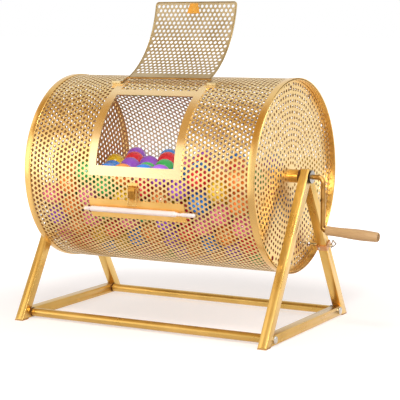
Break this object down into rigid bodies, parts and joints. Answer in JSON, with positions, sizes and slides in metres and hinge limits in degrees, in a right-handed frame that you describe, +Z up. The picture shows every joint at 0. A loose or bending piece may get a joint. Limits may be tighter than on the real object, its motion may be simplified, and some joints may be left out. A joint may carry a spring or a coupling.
{
  "type": "raffle drum",
  "caption": "Perforated sheet raffle drum with a curved hatch door, wire clasp and wooden-handled crank, half full of balls, on a tubular A-frame stand.",
  "frame": {"origin": "on the surface that it stands on, below the middle of the drum", "axes": "+X along the drum's axis towards the crank; +Y away from the hatch side; +Z up"},
  "size_m": [0.5834, 0.3167, 0.5233],
  "materials": {
    "stand_gold": "satin gold lacquer on steel tube",
    "bronze_washer": "dark bronze, dull",
    "steel_fastener": "plain turned steel",
    "foot_plastic": "matte moulded plug",
    "bearing_plastic": "dull nylon",
    "copper_bracket": "copper-brown lacquer",
    "mesh_gold": "light gold lacquer on perforated sheet",
    "trim_gold": "smooth light gold lacquer",
    "hardware_gold": "darker gold plating",
    "chrome_collar": "bright chrome",
    "white_grip": "satin white plastic with a pink cast",
    "handle_wood": "turned and oiled",
    "pin_steel": "bright drawn wire",
    "ball_red": "glossy",
    "ball_orange": "glossy",
    "ball_yellow": "glossy",
    "ball_green": "glossy",
    "ball_blue": "glossy",
    "ball_purple": "glossy",
    "ball_pink": "glossy"
  },
  "bodies": {
    "stand": {"left_front_leg": "stand_gold", "left_rear_leg": "stand_gold", "right_front_leg": "stand_gold", "right_rear_leg": "stand_gold", "left_crossbar": "stand_gold", "right_crossbar": "stand_gold", "front_rail": "stand_gold", "rear_rail": "stand_gold", "rail_washers": "bronze_washer", "rail_bolts": "steel_fastener", "foot_plugs": "foot_plastic", "left_bearing_bush": "bearing_plastic", "right_bearing_bush": "bearing_plastic", "left_thrust_washer": "bronze_washer", "right_thrust_washer": "bronze_washer", "lock_bracket": "copper_bracket", "lock_screw": "steel_fastener"},
    "drum": {"drum_shell": "mesh_gold", "left_end_disc": "mesh_gold", "right_end_disc": "mesh_gold", "left_rim_band": "trim_gold", "right_rim_band": "trim_gold", "left_hub": "hardware_gold", "right_hub": "hardware_gold", "hub_set_screws": "steel_fastener", "left_stub_axle": "hardware_gold", "crank_rod": "hardware_gold", "left_collar": "chrome_collar", "right_collar": "chrome_collar", "collar_set_screws": "steel_fastener", "hatch_frame": "trim_gold", "left_hinge_knuckle": "hardware_gold", "right_hinge_knuckle": "hardware_gold", "clasp_plate": "trim_gold", "clasp_body": "hardware_gold", "clasp_rivets": "hardware_gold", "grip_channel": "trim_gold", "grip_posts": "hardware_gold", "grip_rod": "white_grip", "handle_washer": "steel_fastener", "handle_screw": "steel_fastener"},
    "door": {"door_sheet": "mesh_gold", "door_edge": "hardware_gold", "door_hinge_rod": "hardware_gold", "door_hasp_plate": "hardware_gold", "door_keeper": "hardware_gold", "door_rivets": "hardware_gold"},
    "bail": {"clasp_bail": "hardware_gold"},
    "handle": {"crank_handle": "handle_wood"},
    "lock": {"lock_pin": "pin_steel", "lock_pull": "pin_steel"},
    "ball_load": {"balls_red": "ball_red", "balls_orange": "ball_orange", "balls_yellow": "ball_yellow", "balls_green": "ball_green", "balls_blue": "ball_blue", "balls_purple": "ball_purple", "balls_pink": "ball_pink"}
  },
  "joints": [
    {"name": "drum_spin", "type": "hinge", "parent": "stand", "child": "drum", "pos_m": [0, 0, 0.247], "axis": [1, 0, 0], "continuous": true},
    {"name": "door_hinge", "type": "hinge", "parent": "drum", "child": "door", "pos_m": [0, -0.06232, 0.39241], "axis": [1, 0, 0], "range_deg": [0, 186]},
    {"name": "bail_swing", "type": "hinge", "parent": "drum", "child": "bail", "pos_m": [-0.0028, -0.15673, 0.23246], "axis": [-1, 0, 0], "range_deg": [0, 172]},
    {"name": "handle_spin", "type": "hinge", "parent": "drum", "child": "handle", "pos_m": [0.25869, 0, 0.16341], "axis": [0.9986, 0, -0.0523], "continuous": true},
    {"name": "lock_slide", "type": "slide", "parent": "stand", "child": "lock", "axis": [-1, 0, 0], "range_m": [0, 0.004]},
    {"name": "ball_surge", "type": "hinge", "parent": "stand", "child": "ball_load", "pos_m": [0, 0, 0.247], "axis": [1, 0, 0], "range_deg": [-30, 30]}
  ]
}
